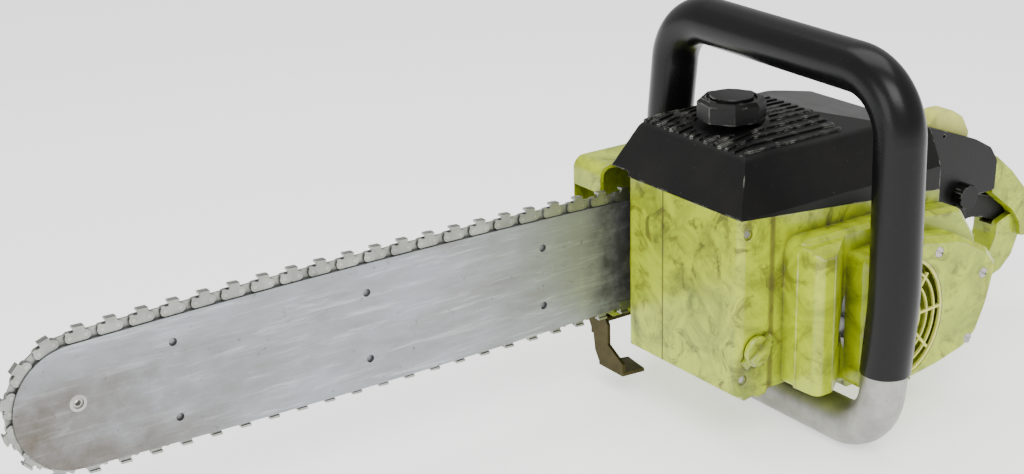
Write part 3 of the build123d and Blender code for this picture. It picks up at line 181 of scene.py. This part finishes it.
def yellow(name, tint=(0.43, 0.53, 0.0), grime_and_shade=0.8, worn=0.8, front=False):
    m = Mat(name, tint, 0.34, 0.0, 0.2)
    m.layer(m.ramp(m.noise(26, 7, 0.62, (1, 1, 1), 1.4), 0.42, 0.66), (tint[0] * 0.30, tint[1] * 0.32, 0.0), 0.45, 0.85 * grime_and_shade)
    m.layer(m.ramp(m.noise(44, 8, 0.7, (1, 1, 1), 1.2), 0.52, 0.64), (0.06, 0.055, 0.001), 0.6, 0.7 * grime_and_shade)
    m.layer(spots(m, 170, 0.63, 0.72), (0.05, 0.045, 0.006), 0.7, 0.5 * grime_and_shade)
    m.layer(m.math("MULTIPLY", m.edges(0.0022), spots(m, 60, 0.48, 0.58)), (0.40, 0.38, 0.28), 0.4, worn)
    # Painted shade: dark brown in occluded recesses, broken up by noise as grime.
    m.layer(m.math("MULTIPLY", m.occlusion_shade_mask(0.014), m.ramp(m.noise(40, 6), 0.25, 0.6)), (0.05, 0.042, 0.012), 0.8, grime_and_shade)
    if front:
        sep = m.t.nodes.new("ShaderNodeSeparateXYZ")
        m.t.links.new(m.tc.outputs["Object"], sep.inputs[0])
        x, y = sep.outputs["X"], sep.outputs["Y"]
        for value, at_m, half, strength in ((y, P(0, -52, 0).y, 0.0011, 0.9), (x, P(29, 0, 0).x, 0.0035, 0.75)):
            away = m.t.nodes.new("ShaderNodeMath")
            away.operation = "SUBTRACT"
            m.t.links.new(value, away.inputs[0])
            away.inputs[1].default_value = at_m
            size = m.t.nodes.new("ShaderNodeMath")
            size.operation = "ABSOLUTE"
            m.t.links.new(away.outputs[0], size.inputs[0])
            m.layer(m.ramp(size.outputs[0], half, half * 0.35), (0.06, 0.045, 0.004), 0.8, strength)
    m.bump(m.noise(260, 4), 0.12)
    return m.m


def black(name, base=(0.002, 0.002, 0.002), rough=0.42, dust=0.5, scuff_and_highlight=0.8, bumpy=0.25, spec=0.22, edge=0.0016):
    m = Mat(name, base, rough)
    m.s.inputs["Specular IOR Level"].default_value = spec
    m.layer(m.ramp(m.noise(18, 6), 0.45, 0.8), (0.012, 0.011, 0.005), 0.6, dust)
    m.layer(spots(m, 300, 0.64, 0.72), (0.10, 0.10, 0.085), 0.65, dust)
    # Pale grey on edges: painted edge highlight together with scuffing.
    m.layer(m.math("MULTIPLY", m.edges(edge), spots(m, 70, 0.50, 0.60)), (0.30, 0.30, 0.27), 0.6, scuff_and_highlight)
    m.bump(m.noise(500, 3), bumpy)
    return m.m


def metal(name, base, rough, dirt_and_shade=(0.06, 0.05, 0.035), amount=0.6, stretch=(1, 1, 1), scale=60):
    m = Mat(name, base, rough, 1.0)
    m.layer(m.ramp(m.noise(scale, 8, 0.6, stretch), 0.35, 0.8), tuple(c * 0.45 for c in base), rough + 0.15, 0.7)
    # Painted shade: dirt colour in occluded recesses, broken up by noise.
    m.layer(m.math("MULTIPLY", m.occlusion_shade_mask(0.006), m.ramp(m.noise(90, 5), 0.2, 0.6)), dirt_and_shade, 0.8, amount)
    m.layer(spots(m, 200, 0.60, 0.72), dirt_and_shade, 0.75, amount * 0.5)
    m.bump(m.noise(scale * 4, 5, 0.6, stretch), 0.1)
    return m.m


def bar_metal():
    m = Mat("bar_steel", (0.30, 0.32, 0.345), 0.36, 0.85)
    m.layer(m.ramp(m.noise(12, 9, 0.65, (1, 1, 3)), 0.38, 0.72), (0.19, 0.185, 0.175), 0.5, 0.75)
    m.layer(m.ramp(m.noise(30, 10, 0.75, (0.6, 1, 9), 0.4), 0.52, 0.72), (0.58, 0.59, 0.60), 0.3, 0.6)
    m.layer(m.ramp(m.noise(7, 6, 0.6, (0.6, 1, 2.5)), 0.52, 0.72), (0.16, 0.115, 0.065), 0.6, 0.55)
    m.layer(spots(m, 180, 0.62, 0.70), (0.05, 0.045, 0.04), 0.7, 0.5)
    # Painted shade: dark brown in occluded recesses.
    m.layer(m.occlusion_shade_mask(0.01, 0.7, 0.3), (0.03, 0.025, 0.02), 0.8, 0.6)
    sep = m.t.nodes.new("ShaderNodeSeparateXYZ")
    m.t.links.new(m.tc.outputs["Object"], sep.inputs[0])
    x, z = sep.outputs["X"], sep.outputs["Z"]
    band = m.math("MULTIPLY", m.ramp(x, P(-34, 0, 0).x, P(-12, 0, 0).x), m.ramp(m.noise(50, 5), 0.15, 0.6))
    m.layer(band, (0.04, 0.037, 0.03), 0.7, 0.85)
    lane = m.math("MULTIPLY", m.ramp(z, P(0, 0, 34).z, P(0, 0, 6).z), m.ramp(x, P(-270, 0, 0).x, P(-415, 0, 0).x))
    m.layer(m.math("MULTIPLY", lane, m.ramp(m.noise(24, 8), 0.3, 0.65)), (0.10, 0.075, 0.045), 0.6, 0.8)
    m.bump(m.noise(60, 6, 0.6, (1, 1, 10)), 0.12)
    return m.m


def plain(name, base, rough, metal_=0.0, dark=0.6):
    m = Mat(name, base, rough, metal_)
    m.layer(m.ramp(m.noise(40, 6), 0.4, 0.8), tuple(c * dark for c in base), min(1, rough + 0.1), 0.7)
    # Painted shade: the base colour at a quarter in occluded recesses.
    m.layer(m.occlusion_shade_mask(0.006), tuple(c * 0.25 for c in base), 0.8, 0.6)
    m.bump(m.noise(300, 4), 0.1)
    return m.m


MATS = {
    "bar_steel": bar_metal(),
    "chain_steel": metal("chain_steel", (0.34, 0.35, 0.32), 0.36, (0.03, 0.028, 0.02), 0.9),
    "rivet_steel": metal("rivet_steel", (0.42, 0.41, 0.38), 0.35),
    "yellow_paint": yellow("yellow_paint"),
    "yellow_front": yellow("yellow_front", (0.40, 0.49, 0.0), 1.15, 0.5, True),
    "pale_yellow": yellow("pale_yellow", (0.66, 0.68, 0.10), 0.4, 0.4),
    "black_plastic": black("black_plastic"),
    "grip_black": black("grip_black", (0.004, 0.004, 0.004), 0.36, 0.35, 0.6),
    "sleeve_rubber": black("sleeve_rubber", (0.003, 0.003, 0.0035), 0.26, 0.1, 0.1, 0.05),
    "handle_metal": metal("handle_metal", (0.36, 0.355, 0.34), 0.42, (0.10, 0.085, 0.06), 0.5),
    "cast_alloy": metal("cast_alloy", (0.5, 0.5, 0.49), 0.5),
    "engine_steel": metal("engine_steel", (0.28, 0.28, 0.28), 0.4),
    "catcher_brass": metal("catcher_brass", (0.07, 0.058, 0.022), 0.5, (0.03, 0.025, 0.01), 0.7),
    "plug_ceramic": plain("plug_ceramic", (0.8, 0.8, 0.76), 0.25),
    "filter_felt": plain("filter_felt", (0.55, 0.52, 0.44), 0.95),
    "rope": plain("rope", (0.42, 0.41, 0.36), 0.9),
}
SPECIAL = {"crankcase_left": "yellow_front", "crankcase_right": "yellow_front", "oil_cap": "yellow_paint", "rear_grip": "grip_black", "top_cover": "black_plastic"}

slots = {s["node"]: s["material_slot"] for s in frame["record"]["subparts"]}
for name, ob in N.items():
    mat = MATS[SPECIAL.get(name, slots[name])]
    for i in range(len(ob.material_slots)):
        ob.material_slots[i].material = mat
    if not ob.material_slots:
        ob.data.materials.append(mat)

# ---------------------------------------------------------------- soft edges
ROUND = {"top_cover": 1.2, "rear_grip": 4.0, "rear_handle": 3.0, "crankcase_left": 1.2, "crankcase_right": 1.0,
         "clutch_cover": 0.8, "fan_housing": 0.8, "starter_cover": 0.8, "interlock_lever": 2.6, "trigger": 1.6,
         "filter_knob": 1.0, "choke_knob": 0.8, "starter_grip": 1.6, "chain_catcher": 0.5, "guide_bar": 0.3,
         "chain_cutters": 0.25, "oil_cap": 0.5, "fuel_cap": 0.5}
for name, r in ROUND.items():
    b = N[name].modifiers.new("soft_edges", "BEVEL")
    b.width = r / 1000
    b.segments = 3
    b.limit_method = "ANGLE"
    b.angle_limit = math.radians(38)
    b.use_clamp_overlap = True

# ---------------------------------------------------------------- extra pieces


def mesh_piece(name, make, mat, body="saw_body"):
    me = bpy.data.meshes.new(name)
    bm = bmesh.new()
    make(bm)
    bmesh.ops.recalc_face_normals(bm, faces=bm.faces)
    bm.to_mesh(me)
    bm.free()
    for f in me.polygons:
        f.use_smooth = True
    ob = bpy.data.objects.new(name, me)
    bpy.context.scene.collection.objects.link(ob)
    me.materials.append(MATS[mat])
    if body:
        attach(ob, body)
    return ob


# ---------------------------------------------------------------- rope lead
def rope_lead(bm):
    lo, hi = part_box("starter_rope_lead")
    c = (Vector(lo) + Vector(hi)) / 2
    z0, z1 = lo[2], hi[2]
    r = (hi[0] - lo[0]) / 2
    last = None
    rows = 60
    for k in range(rows + 1):
        t = k / rows
        ring = []
        for i in range(24):
            a = i * math.tau / 24
            rr = r * (0.93 + 0.06 * math.cos(3 * a))
            ring.append(bm.verts.new((c.x + math.cos(a + t * 3) * rr, c.y + math.sin(a + t * 3) * rr, z0 + (z1 - z0) * t)))
        if last:
            for i in range(24):
                bm.faces.new((last[i], last[(i + 1) % 24], ring[(i + 1) % 24], ring[i]))
        last = ring


lead = mesh_piece("rope_lead", rope_lead, "rope", None)
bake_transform(lead)
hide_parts("starter_rope_lead")



# ---------------------------------------------------------------- stage
def floor():
    me = bpy.data.meshes.new("floor")
    me.from_pydata([(-8, -8, 0), (8, -8, 0), (8, 8, 0), (-8, 8, 0)], [], [(0, 1, 2, 3)])
    ob = bpy.data.objects.new("floor", me)
    bpy.context.scene.collection.objects.link(ob)
    m = bpy.data.materials.new("floor")
    m.use_nodes = True
    m.node_tree.nodes["Principled BSDF"].inputs["Base Color"].default_value = (0.93, 0.93, 0.93, 1)
    m.node_tree.nodes["Principled BSDF"].inputs["Roughness"].default_value = 0.9
    sh = m.node_tree.nodes["Principled BSDF"]
    sh.inputs["Emission Color"].default_value = (1, 1, 1, 1)
    sh.inputs["Emission Strength"].default_value = 0.9
    me.materials.append(m)


floor()
world = bpy.data.worlds.new("world")
world.use_nodes = True
world.node_tree.nodes["Background"].inputs["Color"].default_value = (1, 1, 1, 1)
world.node_tree.nodes["Background"].inputs["Strength"].default_value = 0.75
bpy.context.scene.world = world


def area(name, loc, aim, size, power):
    li = bpy.data.lights.new(name, "AREA")
    li.shape = "RECTANGLE"
    li.size, li.size_y = size
    li.energy = power
    ob = bpy.data.objects.new(name, li)
    ob.location = loc
    ob.rotation_euler = (Vector(aim) - Vector(loc)).to_track_quat("-Z", "Y").to_euler()
    bpy.context.scene.collection.objects.link(ob)


area("key", (-0.6, -1.2, 1.6), (0.05, 0, 0.12), (1.2, 0.9), 26)
area("top", (0.2, 0.2, 1.7), (0.05, 0, 0.1), (1.6, 1.0), 18)
area("side", (-1.6, -0.2, 0.6), (0, 0, 0.1), (0.8, 0.8), 8)

# ---------------------------------------------------------------- camera
az, el, roll = map(math.radians, (-33.94, 20.33, -1.56))
back = Vector((math.sin(az) * math.cos(el), -math.cos(az) * math.cos(el), math.sin(el)))
right = Vector((math.cos(az), math.sin(az), 0))
up = back.cross(right)
c, s = math.cos(roll), math.sin(roll)
r2 = c * right + s * up
u2 = -s * right + c * up
cam = bpy.data.cameras.new("camera")
cam.sensor_width = 36
cam.lens = 63.26
cam_ob = bpy.data.objects.new("camera", cam)
m = Matrix((r2, u2, back)).transposed().to_4x4()
m.translation = P(-752.8, -980.1, 473.7)
cam_ob.matrix_world = m
bpy.context.scene.collection.objects.link(cam_ob)
bpy.context.scene.camera = cam_ob

write_size()
